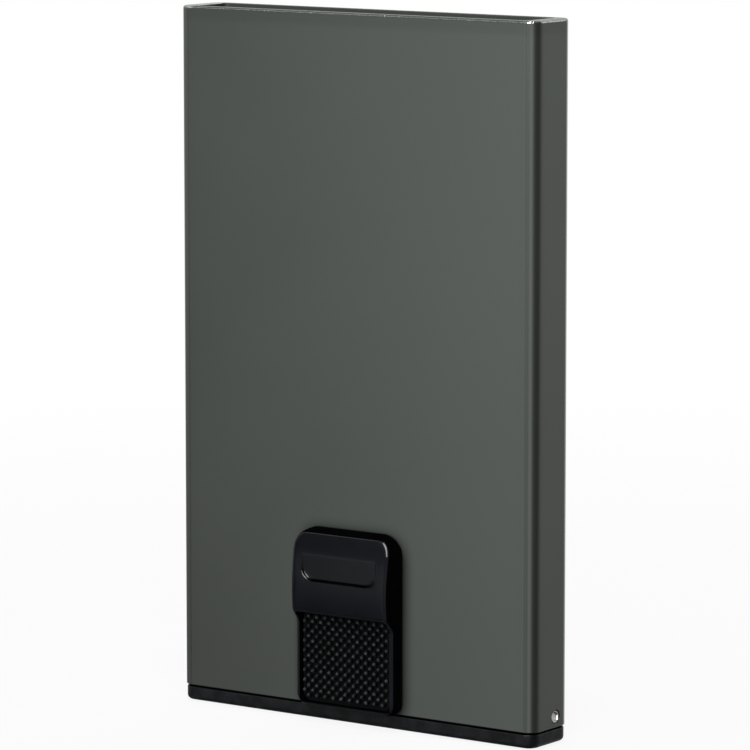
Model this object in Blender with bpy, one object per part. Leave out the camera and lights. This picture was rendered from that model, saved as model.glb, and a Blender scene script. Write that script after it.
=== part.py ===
"""Slide-up card wallet: a flat aluminium tube, closed by a moulded base, with a thumb slider on its front.

The tube stands on its base, +Z up, with the slider facing -Y. The origin is the middle of the
base's underside. All lengths are in metres. Cards stand inside on the two rests of the base, and
the slider carries a stair that lifts each card to a height of its own, so that they fan out.
"""

import math

import bmesh
import bpy
from mathutils import Vector

# The cards that the wallet is built round, and the room that they get
card_length = 0.0856
card_width = 0.05398
card_thickness = 0.00076
card_count = 6
card_slack = 0.00012  # spare depth for each card
card_play = 0.00016  # from a card's edge to the guide strip beside it
card_inset = 0.0008  # from the rim down to the cards' top edges
card_rest_height = 0.0156  # from the table up to the cards' lower edges

# Clearances
seat_gap = 0.0003  # between two pieces that rest against each other
run_gap = 0.0003  # between the slider's pieces and what they run along
cut_overrun = 0.001  # how far a cut reaches past what it cuts

# Aluminium tube
face_wall = 0.00111
side_wall = 0.0023
corner_radius = 0.0019
bore_corner_radius = 0.0008
rim_chamfer = 0.00015
foot_chamfer = 0.0003
seam_height = 0.0023  # from the table up to the tube's lower edge

# Guide strips on the inner side walls
strip_thickness = 0.00125
strip_width = 0.0045
strip_length = 0.040
strip_corner = 0.0006
strip_middle_height = 0.060

# Moulded base
base_inset = 0.00012  # how far the base stands back from the tube's faces
base_foot_round = 0.00095
base_lip_round = 0.00035
plug_rise = 0.0011  # how far the plug reaches up into the tube
rest_width = 0.0112  # of each card rest, across the wallet
rest_step = 0.0001  # from the plug's face back to a rest's face

# Steel pins that hold the base in the tube
pin_radius = 0.00085
pin_length = 0.0069
pin_recess = 0.00005  # of the pin's face below the tube's side
pin_offset = 0.0011  # from the wallet's middle plane towards its back
pin_rise = 0.00155  # from the tube's lower edge up to the pin's axis
pin_chamfer = 0.00015

# Rubber feet let into the base's underside
foot_length = 0.012
foot_width = 0.0044
foot_thickness = 0.0006
foot_corner = 0.001
foot_end_margin = 0.005  # from the wallet's side to a foot

# Thumb button
button_width = 0.0175
grip_height = 0.0142  # from the button's lower edge up to the head
head_height = 0.0118
button_top_radius = 0.0031
button_foot_radius = 0.0017
button_edge = 0.00045  # rounding of the front edges
button_back_gap = 0.0004  # from the tube's face to the button's back
button_draft = 0.12  # how much a side leans in for each unit of height
low_protrusion = 0.0021
ramp_height = 0.002  # of the slope below the head
crown_protrusion = 0.00365
crown_rise = 0.003  # from the head's lower edge up to its crown
crown_fall = 0.0013  # from the crown's protrusion to that of the top end
panel_side_margin = 0.00185
panel_rise = 0.0045  # from the head's lower edge up to the thumb panel
panel_depth = 0.00045  # below the crown; the panel runs out upwards, where the head falls back
panel_corner = 0.0015

# Neck of the button and boss of the lifter, which meet in the tube's slot
neck_width = 0.0074
neck_straight = 0.001  # of the neck's sides, between its round ends
neck_rise = 0.0024  # from the button's lower edge up to the neck
neck_depth = 0.0001  # how far the neck enters the slot
travel = 0.013  # of the slider

# Grip pad let into the button's lower part
pad_floor = 0.0005  # wall of the button behind the pad
pad_rim = 0.0006  # width of the button's rim beside the pad
pad_foot_rim = 0.0005
pad_ledge = 0.0004  # from the head's lower edge down to the pad's recess
pad_sink = 0.0001  # of the pad's face below the rim
pad_foot_corner = 0.0014
pad_top_corner = 0.0004

# Felt glides under the button's head
glide_width = 0.0026
glide_thickness = 0.0007
glide_side_margin = 0.0009
glide_top_margin = 0.0019
glide_foot_margin = 0.0005
glide_corner = 0.0005

# Lifter that carries the cards
plate_thickness = 0.001
first_tier_height = 0.0024
stair_step = 0.0002  # from the plate's lower edge up to the stair's underside
stair_gap = 0.0003  # beside the stair, to the card rests
lip_thickness = 0.0006
wing_play = 0.0005  # from a wing's lips to the side wall

# Leaf springs between the lifter's wings and the side walls
spring_thickness = 0.00025
spring_bow = 0.00125
spring_margin = 0.0001  # from the plate's faces to the spring's edges

# Countersunk screws that join the button to the lifter
screw_head_radius = 0.0017
screw_head_edge = 0.00015
screw_radius = 0.00095
screw_length = 0.003
screw_tip = 0.0002
screw_land = 0.0004  # of the recess's floor between the two countersinks
drive_length = 0.0018
drive_width = 0.0004
drive_depth = 0.0004

# Steps that stand for a round shape
corner_steps = 6
round_steps = 24
edge_steps = 4
button_steps = 8
head_steps = 6
spring_steps = 14
smooth_angle = math.radians(35)

# Sizes that follow from those above
card_pitch = card_thickness + card_slack
stack_depth = card_count * card_pitch
bore_depth = run_gap + plate_thickness + run_gap + stack_depth + seat_gap
bore_width = card_width + 2 * (card_play + strip_thickness + seat_gap)
tube_depth = bore_depth + 2 * face_wall
tube_width = bore_width + 2 * side_wall
tube_top = card_rest_height + card_length + card_inset
tube_height = tube_top - seam_height
front_face = -tube_depth / 2
plate_front = face_wall + run_gap  # depths behind the tube's front face
plate_back = plate_front + plate_thickness
stack_front = plate_back + run_gap
stack_back = stack_front + stack_depth
plug_top = seam_height + plug_rise
plug_corner = bore_corner_radius - seat_gap
base_top = seam_height - seat_gap
foot_middle = tube_width / 2 - foot_end_margin - foot_length / 2
pin_height = seam_height + pin_rise
pin_hole_radius = pin_radius + seat_gap
button_foot = seam_height
button_height = grip_height + head_height
pad_floor_depth = button_back_gap + pad_floor
neck_height = neck_width + neck_straight
slot_width = neck_width + 2 * run_gap
screw_pitch = 2 * (screw_head_radius + seat_gap) + screw_land
screw_hole_radius = screw_radius + seat_gap
plate_foot = plug_top + run_gap - button_foot
plate_top = card_rest_height - run_gap - button_foot
wing_reach = bore_width / 2 - wing_play
notch_reach = bore_width / 2 - seat_gap - spring_thickness - spring_bow - seat_gap


def clear_scene():
    for old in list(bpy.data.objects):
        bpy.data.objects.remove(old, do_unlink=True)


def make_material(name, color, roughness, metallic):
    material = bpy.data.materials.new(name)
    material.use_nodes = True
    shader = material.node_tree.nodes["Principled BSDF"]
    shader.inputs["Base Color"].default_value = (*color, 1)
    shader.inputs["Roughness"].default_value = roughness
    shader.inputs["Metallic"].default_value = metallic
    material.diffuse_color = (*color, 1)
    return material


def corner_arc(center_a, center_b, radius, start, steps):
    """Quarter circle about a point of a plane, from the angle start, a quarter turn on."""
    angles = [start + math.pi / 2 * step / steps for step in range(steps + 1)]
    return [(center_a + radius * math.cos(a), center_b + radius * math.sin(a)) for a in angles]


def rounded_outline(half_width, low, high, low_radius, high_radius, steps=corner_steps):
    """Rounded rectangle between two heights, anticlockwise from its low right corner."""
    right_low = corner_arc(half_width - low_radius, low + low_radius, low_radius, -math.pi / 2, steps)
    right_high = corner_arc(half_width - high_radius, high - high_radius, high_radius, 0, steps)
    right = right_low + right_high
    left = [(-a, b) for a, b in reversed(right)]
    return right + left


def level_ring(half_width, half_depth, radius, height):
    """Rounded rectangle about the upright axis, at one height."""
    outline = rounded_outline(half_width, -half_depth, half_depth, radius, radius)
    return [Vector((x, y, height)) for x, y in outline]


def across(outline, depth):
    """Outline in the upright plane that faces the front, at one depth."""
    return [Vector((a, depth, b)) for a, b in outline]


def sideways(outline, place):
    """Outline in the upright plane that faces the side, at one place along X."""
    return [Vector((place, a, b)) for a, b in outline]


def circle_outline(radius, center_a=0, center_b=0, steps=round_steps):
    angles = [math.tau * step / steps for step in range(steps)]
    return [(center_a + radius * math.cos(a), center_b + radius * math.sin(a)) for a in angles]


def skin_rings(name, rings, closed=False):
    """Mesh object over a row of rings: capped at both ends, or closed round to its first ring."""
    mesh = bpy.data.meshes.new(name)
    work = bmesh.new()
    rows = [[work.verts.new(point) for point in ring] for ring in rings]
    count = len(rows[0])
    pairs = list(zip(rows, rows[1:]))
    if closed:
        pairs.append((rows[-1], rows[0]))
    for low, high in pairs:
        for i in range(count):
            j = (i + 1) % count
            work.faces.new((low[i], low[j], high[j], high[i]))
    if not closed:
        work.faces.new(rows[0][::-1])
        work.faces.new(rows[-1])
    bmesh.ops.recalc_face_normals(work, faces=work.faces)
    work.to_mesh(mesh)
    work.free()
    mesh.shade_smooth()
    mesh.set_sharp_from_angle(angle=smooth_angle)
    piece = bpy.data.objects.new(name, mesh)
    bpy.context.scene.collection.objects.link(piece)
    return piece


def finish_piece(piece, material, parent=None, location=(0, 0, 0)):
    piece.data.materials.append(material)
    piece.location = location
    piece.parent = parent
    return piece


def boolean(piece, tool, operation):
    """Cut or fuse with a tool shape that shares the piece's frame and stays out of the model."""
    tool.parent = piece
    tool.hide_render = True
    tool.display_type = "WIRE"
    modifier = piece.modifiers.new(tool.name, "BOOLEAN")
    modifier.operation = operation
    modifier.solver = "EXACT"
    modifier.object = tool


def cut(piece, tool):
    boolean(piece, tool, "DIFFERENCE")


def fuse(piece, tool):
    boolean(piece, tool, "UNION")


def slot_outline(width, low, high):
    """Upright slot with half-round ends, anticlockwise from its left side."""
    radius = width / 2
    half_steps = round_steps // 2
    angles = [math.pi * step / half_steps for step in range(half_steps + 1)]
    lower = [(-radius * math.cos(a), low + radius * (1 - math.sin(a))) for a in angles]
    upper = [(radius * math.cos(a), high - radius * (1 - math.sin(a))) for a in angles]
    return lower + upper


def make_housing_tube(material):
    """Extruded tube: outer wall up, over the rim, and down the bore."""
    half_width = tube_width / 2
    half_depth = tube_depth / 2
    bore_half_width = bore_width / 2
    bore_half_depth = bore_depth / 2

    def outer(inset, height):
        return level_ring(half_width - inset, half_depth - inset, corner_radius - inset, height)

    def inner(inset, height):
        radius = bore_corner_radius + inset
        return level_ring(bore_half_width + inset, bore_half_depth + inset, radius, height)

    rings = [
        outer(foot_chamfer, 0),
        outer(0, foot_chamfer),
        outer(0, tube_height - rim_chamfer),
        outer(rim_chamfer, tube_height),
        inner(rim_chamfer, tube_height),
        inner(0, tube_height - rim_chamfer),
        inner(0, 0),
    ]
    tube = skin_rings("housing_tube", rings, closed=True)

    low = neck_rise - run_gap
    high = neck_rise + neck_height + travel + run_gap
    slot = slot_outline(slot_width, low, high)
    slot_rings = [across(slot, front_face + depth) for depth in (-cut_overrun, face_wall + cut_overrun)]
    cut(tube, skin_rings("slot_cutter", slot_rings))

    hole = circle_outline(pin_hole_radius, pin_offset, pin_rise)
    for side, name in ((-1, "left"), (1, "right")):
        ends = (bore_half_width - cut_overrun, half_width + cut_overrun)
        hole_rings = [sideways(hole, side * end) for end in ends]
        cut(tube, skin_rings("tube_pin_cutter_" + name, hole_rings))
    return finish_piece(tube, material, location=(0, 0, seam_height))


def make_guide_strip(side, name, material):
    """Soft strip glued to an inner side wall, which keeps the cards in the middle."""
    half_length = strip_length / 2
    outline = rounded_outline(strip_width / 2, -half_length, half_length, strip_corner, strip_corner)
    rings = [sideways(outline, 0), sideways(outline, -side * strip_thickness)]
    strip = skin_rings(name, rings)
    wall = bore_width / 2 - seat_gap
    return finish_piece(strip, material, location=(side * wall, 0, strip_middle_height))


def make_base_cap(material):
    """Base with rounded edges, a plug that enters the tube, and the two card rests."""
    half_width = tube_width / 2 - base_inset
    half_depth = tube_depth / 2 - base_inset
    radius = corner_radius - base_inset

    def plate(inset, height):
        return level_ring(half_width - inset, half_depth - inset, radius - inset, height)

    def plug(height):
        return level_ring(bore_width / 2 - seat_gap, bore_depth / 2 - seat_gap, plug_corner, height)

    turns = [math.pi / 2 * step / edge_steps for step in range(edge_steps + 1)]
    foot = [plate(base_foot_round * (1 - math.sin(t)), base_foot_round * (1 - math.cos(t))) for t in turns]
    lip = [
        plate(base_lip_round * (1 - math.cos(t)), base_top - base_lip_round * (1 - math.sin(t)))
        for t in turns
    ]
    cap = skin_rings("base_cap", foot + lip + [plug(base_top), plug(plug_top)])

    rest_outer = bore_width / 2 - seat_gap - rest_step
    rest_back = bore_depth / 2 - seat_gap - rest_step
    rest_front = front_face + stack_front
    rest_middle = rest_outer - rest_width / 2
    outline = rounded_outline(rest_width / 2, rest_front, rest_back, plug_corner, plug_corner)
    for side, name in ((-1, "left"), (1, "right")):
        foot_height = (base_top + plug_top) / 2
        heights = (foot_height, card_rest_height)
        rings = [[Vector((x + side * rest_middle, y, z)) for x, y in outline] for z in heights]
        fuse(cap, skin_rings("card_rest_" + name, rings))
    hole = circle_outline(pin_hole_radius, pin_offset, pin_height)
    hole_end = tube_width / 2 - pin_recess - pin_length - seat_gap
    for side, name in ((-1, "left"), (1, "right")):
        rings = [sideways(hole, side * hole_end), sideways(hole, side * (tube_width / 2 + cut_overrun))]
        cut(cap, skin_rings("base_pin_cutter_" + name, rings))
        pocket = [foot_ring(side, seat_gap, height) for height in (-cut_overrun, foot_thickness + seat_gap)]
        cut(cap, skin_rings("base_foot_cutter_" + name, pocket))
    return finish_piece(cap, material)


def foot_ring(side, grow, height):
    """Outline of a rubber foot at one height, grown by the clearance for its pocket."""
    ring = level_ring(foot_length / 2 + grow, foot_width / 2 + grow, foot_corner + grow, height)
    return [Vector((point.x + side * foot_middle, point.y, point.z)) for point in ring]


def make_base_foot(side, name, material):
    """Rubber foot that keeps the base from sliding, level with the base's underside."""
    rings = [foot_ring(side, 0, height) for height in (0, foot_thickness)]
    return finish_piece(skin_rings(name, rings), material)


def make_base_pin(side, name, material):
    """Steel pin along X, from its face in the tube's side into the base."""
    stations = [
        (0, pin_radius - pin_chamfer),
        (pin_chamfer, pin_radius),
        (pin_length - pin_chamfer, pin_radius),
        (pin_length, pin_radius - pin_chamfer),
    ]
    rings = [sideways(circle_outline(radius), -side * depth) for depth, radius in stations]
    pin = skin_rings(name, rings)
    face = tube_width / 2 - pin_recess
    return finish_piece(pin, material, location=(side * face, pin_offset, pin_height))


def arc_reach(height, radius):
    """How much of a round corner's radius is lost at a height above its end."""
    rest = max(radius - height, 0)
    return radius - math.sqrt(max(radius * radius - rest * rest, 0))


def button_section(height):
    """Cross-section of the button at one height: a back, two leaning sides and a rounded front."""
    top_height = button_height - height
    half_width = button_width / 2
    half_width -= arc_reach(height, button_foot_radius) + arc_reach(top_height, button_top_radius)
    ramp_share = min(max((height - grip_height + ramp_height) / ramp_height, 0), 1)
    crown_height = grip_height + crown_rise
    past_crown = (height - crown_height) / (button_height - crown_height)
    head_protrusion = crown_protrusion - crown_fall * past_crown * past_crown
    protrusion = low_protrusion + (head_protrusion - low_protrusion) * ramp_share
    protrusion -= arc_reach(height, button_edge) + arc_reach(top_height, button_edge)
    shoulder = protrusion - button_edge
    lean = button_draft * (shoulder - button_back_gap)
    center = half_width - lean - button_edge
    front = corner_arc(center, shoulder, button_edge, 0, edge_steps)
    right = [(half_width, button_back_gap)] + front
    outline = right + [(-a, b) for a, b in reversed(right)]
    return [Vector((a, -b, height)) for a, b in outline]


def make_slider_button(carriage, material):
    """Thumb button with a raised head, a shallow thumb panel and a recess for the grip pad."""
    turns = [math.pi / 2 * step / button_steps for step in range(button_steps + 1)]
    foot = [button_foot_radius * (1 - math.cos(t)) for t in turns]
    top = [button_height - button_top_radius * (1 - math.sin(t)) for t in turns]
    head = [grip_height + (top[0] - grip_height) * step / head_steps for step in range(head_steps)]
    heights = foot + [grip_height - ramp_height] + head + top
    button = skin_rings("slider_button", [button_section(height) for height in heights])

    neck = slot_outline(neck_width, neck_rise, neck_rise + neck_height)
    neck_root = -pad_floor_depth + pad_floor / 2
    fuse(button, skin_rings("neck", [across(neck, neck_root), across(neck, neck_depth)]))

    recess_rings = [across(pad_recess_outline(), -crown_protrusion - cut_overrun)]
    recess_rings.append(across(pad_recess_outline(), -pad_floor_depth))
    cut(button, skin_rings("pad_cutter", recess_rings))

    panel_foot = grip_height + panel_rise
    panel_half = button_width / 2 - panel_side_margin
    panel = rounded_outline(panel_half, panel_foot, button_height + cut_overrun, panel_corner, panel_corner)
    panel_rings = [across(panel, -crown_protrusion + depth) for depth in (-cut_overrun, panel_depth)]
    cut(button, skin_rings("panel_cutter", panel_rings))

    for side, name in ((-1, "left"), (1, "right")):
        pocket = glide_outline(side, seat_gap)
        floor = -(button_back_gap + glide_pocket_depth())
        pocket_rings = [across(pocket, floor), across(pocket, cut_overrun - button_back_gap)]
        cut(button, skin_rings("glide_cutter_" + name, pocket_rings))
    for height, name in screw_places():
        cut(button, countersink("button_screw_cutter_" + name, height))
    return finish_piece(button, material, parent=carriage)


def pad_recess_outline(inset=0):
    """Outline of the pad's recess, or of the pad itself when it stands back by an inset."""
    half_width = button_width / 2 - button_draft * low_protrusion - pad_rim - inset
    high = grip_height - pad_ledge - inset
    low = pad_foot_rim + inset
    return rounded_outline(half_width, low, high, pad_foot_corner - inset, pad_top_corner)


def make_grip_pad(carriage, material):
    """Rubber pad that covers the screws. Its studs are finished in the surface."""
    outline = pad_recess_outline(seat_gap)
    back = -pad_floor_depth - seat_gap
    face = -low_protrusion + pad_sink
    pad = skin_rings("slider_grip_pad", [across(outline, back), across(outline, face)])
    return finish_piece(pad, material, parent=carriage)


def glide_pocket_depth():
    return glide_thickness + seat_gap - (button_back_gap - run_gap)


def glide_outline(side, grow):
    """Outline of a felt glide under the head, grown by the clearance for its pocket."""
    middle = side * (button_width / 2 - glide_side_margin - glide_width / 2)
    low = grip_height + glide_foot_margin - grow
    high = button_height - glide_top_margin + grow
    radius = glide_corner + grow
    outline = rounded_outline(glide_width / 2 + grow, low, high, radius, radius)
    return [(a + middle, b) for a, b in outline]


def make_glide(side, name, carriage, material):
    outline = glide_outline(side, 0)
    rings = [across(outline, -run_gap), across(outline, -run_gap - glide_thickness)]
    return finish_piece(skin_rings(name, rings), material, parent=carriage)


def screw_places():
    """Height and name of each screw, about the neck's middle."""
    middle = neck_rise + neck_height / 2
    return [(middle - screw_pitch / 2, "lower"), (middle + screw_pitch / 2, "upper")]


def turned_screw(name, stations, height):
    """Body turned about an axis along Y, through stations of depth and radius."""
    rings = [across(circle_outline(radius, 0, height), depth) for depth, radius in stations]
    return skin_rings(name, rings)


def screw_cone_depth():
    return screw_head_radius - screw_radius


def countersink(name, height):
    """Cutter for a countersunk hole that opens in the pad's recess and goes right through."""
    seat = -pad_floor_depth
    cone_top = seat + screw_head_edge
    stations = [
        (seat - cut_overrun, screw_head_radius + seat_gap),
        (cone_top, screw_head_radius + seat_gap),
        (cone_top + screw_cone_depth(), screw_hole_radius),
        (neck_depth + cut_overrun, screw_hole_radius),
    ]
    return turned_screw(name, stations, height)


def make_screw(height, name, carriage, material):
    """Countersunk screw with a cross drive, its head level with the recess's floor."""
    cone_top = screw_head_edge
    stations = [
        (0, screw_head_radius),
        (cone_top, screw_head_radius),
        (cone_top + screw_cone_depth(), screw_radius),
        (screw_length - screw_tip, screw_radius),
        (screw_length, screw_radius - screw_tip),
    ]
    screw = turned_screw("slider_screw_" + name, stations, 0)
    long_half = drive_length / 2
    short_half = drive_width / 2
    arm = [(long_half, -short_half), (long_half, short_half), (short_half, short_half)]
    cross = [p for turn in range(4) for p in quarter_turned(arm, turn)]
    rings = [across(cross, -cut_overrun), across(cross, drive_depth)]
    cut(screw, skin_rings("drive_cutter_" + name, rings))
    return finish_piece(screw, material, parent=carriage, location=(0, -pad_floor_depth, height))


def quarter_turned(points, turns):
    for _ in range(turns):
        points = [(-b, a) for a, b in points]
    return points


def make_card_lifter(carriage, material):
    """Plate with a wing to each side, the boss that enters the slot, and the stair under the cards."""
    right = [
        (wing_reach, plate_foot),
        (wing_reach, plate_foot + lip_thickness),
        (notch_reach, plate_foot + lip_thickness),
        (notch_reach, plate_top - lip_thickness),
        (wing_reach, plate_top - lip_thickness),
        (wing_reach, plate_top),
    ]
    outline = right + [(-a, b) for a, b in reversed(right)]
    lifter = skin_rings("card_lifter", [across(outline, plate_front), across(outline, plate_back)])

    boss = slot_outline(neck_width, neck_rise, neck_rise + neck_height)
    boss_rings = [across(boss, neck_depth + seat_gap), across(boss, plate_front + plate_thickness / 2)]
    fuse(lifter, skin_rings("boss", boss_rings))

    rest_inner = bore_width / 2 - seat_gap - rest_step - rest_width
    stair_half = rest_inner - stair_gap
    stair = stair_outline()
    stair_rings = [sideways(stair, -stair_half), sideways(stair, stair_half)]
    fuse(lifter, skin_rings("stair", stair_rings))
    for height, name in screw_places():
        hole = circle_outline(screw_hole_radius, 0, height)
        hole_rings = [across(hole, neck_depth), across(hole, stack_front)]
        cut(lifter, skin_rings("lifter_screw_cutter_" + name, hole_rings))
    return finish_piece(lifter, material, parent=carriage)


def stair_outline():
    """Side view of the stair: one tier for each card, the rear one highest."""
    low = plate_foot + stair_step
    rise = (plate_top - low - first_tier_height) / max(card_count - 1, 1)
    outline = [(plate_front + plate_thickness / 2, low), (stack_back, low)]
    for tier in reversed(range(card_count)):
        top = low + first_tier_height + tier * rise
        outline.append((stack_front + (tier + 1) * card_pitch, top))
        if tier:
            outline.append((stack_front + tier * card_pitch, top))
        else:
            outline.append((plate_front + plate_thickness / 2, top))
    return outline


def make_guide_spring(side, name, carriage, material):
    """Bowed leaf between a wing's lips, its crown beside the tube's side wall."""
    low = plate_foot + lip_thickness + seat_gap
    high = plate_top - lip_thickness - seat_gap
    middle = (low + high) / 2
    half_length = (high - low) / 2
    root = notch_reach + seat_gap
    shares = [2 * step / spring_steps - 1 for step in range(spring_steps + 1)]
    inner = [(root + spring_bow * (1 - s * s), middle + s * half_length) for s in shares]
    outer = [(a + spring_thickness, b) for a, b in reversed(inner)]
    outline = [(side * a, b) for a, b in inner + outer]
    rings = [across(outline, plate_front + spring_margin), across(outline, plate_back - spring_margin)]
    return finish_piece(skin_rings(name, rings), material, parent=carriage)


def make_carriage():
    """Empty on the slider's axis of travel, which carries every piece that moves."""
    carriage = bpy.data.objects.new("slider_carriage", None)
    bpy.context.scene.collection.objects.link(carriage)
    carriage.location = (0, front_face, button_foot)
    return carriage


def build_wallet():
    clear_scene()
    anodised = make_material("anodised_aluminium", (0.075, 0.085, 0.075), 0.42, 0.9)
    moulded = make_material("moulded_black", (0.012, 0.012, 0.014), 0.5, 0)
    gloss = make_material("gloss_black", (0.008, 0.008, 0.009), 0.3, 0)
    rubber = make_material("black_rubber", (0.01, 0.01, 0.01), 0.6, 0)
    acetal = make_material("grey_acetal", (0.03, 0.03, 0.032), 0.4, 0)
    felt = make_material("charcoal_felt", (0.02, 0.02, 0.02), 0.95, 0)
    steel = make_material("pin_steel", (0.55, 0.55, 0.54), 0.3, 1)
    spring_steel = make_material("spring_steel", (0.4, 0.4, 0.41), 0.35, 1)
    zinc = make_material("zinc_plated_steel", (0.3, 0.3, 0.3), 0.35, 1)

    make_housing_tube(anodised)
    make_base_cap(moulded)
    carriage = make_carriage()
    make_slider_button(carriage, gloss)
    make_grip_pad(carriage, rubber)
    make_card_lifter(carriage, acetal)
    for side, name in ((-1, "left"), (1, "right")):
        make_guide_strip(side, "card_guide_strip_" + name, felt)
        make_base_pin(side, "base_pin_" + name, steel)
        make_base_foot(side, "base_foot_" + name, rubber)
        make_glide(side, "button_glide_" + name, carriage, felt)
        make_guide_spring(side, "guide_spring_" + name, carriage, spring_steel)
    for height, name in screw_places():
        make_screw(height, name, carriage, zinc)


build_wallet()
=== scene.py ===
import math

import bmesh
import bpy
import numpy as np
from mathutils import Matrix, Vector


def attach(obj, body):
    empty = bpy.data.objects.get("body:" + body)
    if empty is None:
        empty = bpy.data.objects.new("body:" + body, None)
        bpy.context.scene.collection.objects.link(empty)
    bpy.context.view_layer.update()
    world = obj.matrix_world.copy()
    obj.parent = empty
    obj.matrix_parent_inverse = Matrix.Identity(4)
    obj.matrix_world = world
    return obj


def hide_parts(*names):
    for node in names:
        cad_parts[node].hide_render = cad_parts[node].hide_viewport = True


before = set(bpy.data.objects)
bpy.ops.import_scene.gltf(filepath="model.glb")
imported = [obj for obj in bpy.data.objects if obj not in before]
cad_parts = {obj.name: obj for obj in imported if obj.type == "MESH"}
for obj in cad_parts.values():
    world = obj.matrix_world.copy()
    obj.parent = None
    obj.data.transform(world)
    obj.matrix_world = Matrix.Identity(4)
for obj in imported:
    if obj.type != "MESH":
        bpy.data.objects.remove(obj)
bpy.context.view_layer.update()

mm = 0.001
tubeFace = 4.7  # mm from the middle plane to the tube's front face; protrusions are measured from it
cutterStart = -1.0  # mm below the face: a cutter starts outside the piece
hair = 0.001  # mm that keep two points of an outline apart
plainSharp = 40  # degrees: an edge that bends more is drawn sharp
weldMm, sliverMm = 0.0005, 0.0002
print("frame loaded")


# One colour, written as an sRGB hex, as the linear value that a shader reads
def linearColor(hexText):
    s = np.array([int(hexText[k:k + 2], 16) for k in (0, 2, 4)]) / 255
    linear = np.where(s <= 0.04045, s / 12.92, ((s + 0.055) / 1.055) ** 2.4)
    return (*linear.tolist(), 1.0)


# Adds a node, sets what it has, and fills its inputs with values or with links from other nodes
def addNode(tree, kind, inputs=None, **settings):
    node = tree.nodes.new(kind)
    for key, value in settings.items():
        setattr(node, key, value)
    for key, value in (inputs or {}).items():
        if isinstance(value, bpy.types.NodeSocket):
            tree.links.new(value, node.inputs[key])
        else:
            node.inputs[key].default_value = value
    return node


# Noise in the piece's own space, with features of a size in millimetres
def addNoise(tree, place, sizeMm, detail):
    noise = addNode(tree, "ShaderNodeTexNoise", {
        "Vector": place, "Scale": 1 / (sizeMm * mm), "Detail": detail})
    return noise.outputs["Fac"]


# A value carried from one range over to another, and held at its ends
def addRange(tree, value, source=(0.0, 1.0), target=(0.0, 1.0), **settings):
    carried = addNode(tree, "ShaderNodeMapRange", {
        "Value": value, "From Min": source[0], "From Max": source[1],
        "To Min": target[0], "To Max": target[1],
    }, **settings)
    return carried.outputs["Result"]


def addMath(tree, operation, first, second):
    return addNode(tree, "ShaderNodeMath", {0: first, 1: second}, operation=operation).outputs[0]


# The first colour going over into the second by a factor
def addMix(tree, factor, first, second):
    mix = addNode(tree, "ShaderNodeMix", {"Factor": factor, "A": first, "B": second}, data_type="RGBA")
    return mix.outputs["Result"]


# Relief over a height in millimetres, on top of another one if that is given
def addBump(tree, height, heightMm, strength, under=None):
    inputs = {"Height": height, "Distance": heightMm * mm, "Strength": strength}
    if under is not None:
        inputs["Normal"] = under
    return addNode(tree, "ShaderNodeBump", inputs).outputs["Normal"]


def addShader(tree, output, inputs):
    shader = addNode(tree, "ShaderNodeBsdfPrincipled", inputs)
    tree.links.new(shader.outputs["BSDF"], output.inputs["Surface"])


def newMaterial(name):
    material = bpy.data.materials.new(name)
    material.use_nodes = True
    tree = material.node_tree
    tree.nodes.clear()
    output = addNode(tree, "ShaderNodeOutputMaterial")
    place = addNode(tree, "ShaderNodeTexCoord").outputs["Object"]
    return material, tree, output, place


# Ramp of greys by place, from (place, brightness) stops
def addRamp(tree, place, stops):
    node = addNode(tree, "ShaderNodeValToRGB", {"Fac": place})
    ramp = node.color_ramp
    while len(ramp.elements) < len(stops):
        ramp.elements.new(0.5)
    for element, (position, grey) in zip(ramp.elements, stops):
        element.position = position
        element.color = (grey, grey, grey, 1)
    return node.outputs["Color"]


def newObject(name, data):
    made = bpy.data.objects.new(name, data)
    bpy.context.scene.collection.objects.link(made)
    return made


# Quads between the neighbouring points of a grid of rows and columns
def gridFaces(rows, columns, roundRows, roundColumns, first):
    r = np.arange(rows if roundRows else rows - 1)
    c = np.arange(columns if roundColumns else columns - 1)
    r, c = np.meshgrid(r, c, indexing="ij")
    nextR, nextC = (r + 1) % rows, (c + 1) % columns
    corners = [r * columns + c, r * columns + nextC, nextR * columns + nextC, nextR * columns + c]
    return (np.stack(corners, axis=-1).reshape(-1, 4) + first).tolist()


# A mesh object from grids in millimetres: each is (points, roundRows, roundColumns, capEnds)
def buildPiece(name, grids, sharpDegrees=plainSharp):
    points, faces = [], []
    first = 0
    for grid, roundRows, roundColumns, capEnds in grids:
        rows, columns = grid.shape[:2]
        faces += gridFaces(rows, columns, roundRows, roundColumns, first)
        if capEnds:
            faces.append(list(range(first, first + columns)))
            faces.append(list(range(first + (rows - 1) * columns, first + rows * columns)))
        points.append(grid.reshape(-1, 3) * mm)
        first += rows * columns
    mesh = bpy.data.meshes.new(name)
    mesh.from_pydata(np.concatenate(points).tolist(), [], faces)
    piece = newObject(name, mesh)
    tidyMesh(mesh, sharpDegrees)
    return piece


# Welds double points, drops slivers, turns the faces outwards and marks the sharp edges
def tidyMesh(mesh, sharpDegrees):
    work = bmesh.new()
    work.from_mesh(mesh)
    bmesh.ops.remove_doubles(work, verts=work.verts, dist=weldMm * mm)
    bmesh.ops.dissolve_degenerate(work, edges=work.edges, dist=sliverMm * mm)
    bmesh.ops.recalc_face_normals(work, faces=work.faces)
    work.to_mesh(mesh)
    work.free()
    mesh.shade_smooth()
    mesh.set_sharp_from_angle(angle=math.radians(sharpDegrees))


# Cuts the tools out of the piece, keeps the result as its mesh and drops the tools
def carve(piece, tools):
    for tool in tools:
        modifier = piece.modifiers.new(tool.name, "BOOLEAN")
        modifier.operation = "DIFFERENCE"
        modifier.solver = "EXACT"
        modifier.object = tool
    done = piece.evaluated_get(bpy.context.evaluated_depsgraph_get())
    carved = bpy.data.meshes.new_from_object(done)
    piece.modifiers.clear()
    piece.data = carved
    for tool in tools:
        bpy.data.objects.remove(tool)
    tidyMesh(carved, plainSharp)


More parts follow.
